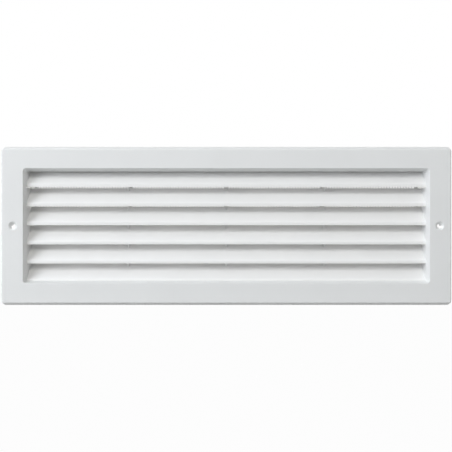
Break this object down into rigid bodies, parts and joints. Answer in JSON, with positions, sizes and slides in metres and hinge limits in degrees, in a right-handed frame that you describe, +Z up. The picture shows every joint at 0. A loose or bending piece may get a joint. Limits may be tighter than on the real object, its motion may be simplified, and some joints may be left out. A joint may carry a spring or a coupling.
{
  "type": "louvred air grille",
  "caption": "White plastic louvred air grille for a rectangular wall opening, with fixed sloping blades, comb ribs, a collar and an insect screen.",
  "frame": {"origin": "on the wall plane, at the middle of the line between the two screw holes, which is also the middle of the opening", "axes": "+X to the right seen from the front, +Y into the wall along the collar, +Z up; the face looks along -Y"},
  "size_m": [0.37, 0.03, 0.13],
  "materials": {
    "face_plastic": "glossy white moulded plastic",
    "blade_plastic": "glossy white moulded plastic",
    "rib_plastic": "satin white moulded plastic",
    "screen_plastic": "satin white moulded plastic",
    "net_plastic": "extruded white plastic net"
  },
  "bodies": {
    "root": {"frame": "face_plastic", "louvre_1": "blade_plastic", "louvre_2": "blade_plastic", "louvre_3": "blade_plastic", "louvre_4": "blade_plastic", "louvre_5": "blade_plastic", "louvre_6": "blade_plastic", "rib_left": "rib_plastic", "rib_centre": "rib_plastic", "rib_right": "rib_plastic", "screen_frame": "screen_plastic", "net_uprights": "net_plastic", "net_cross_strands": "net_plastic"}
  },
  "joints": []
}
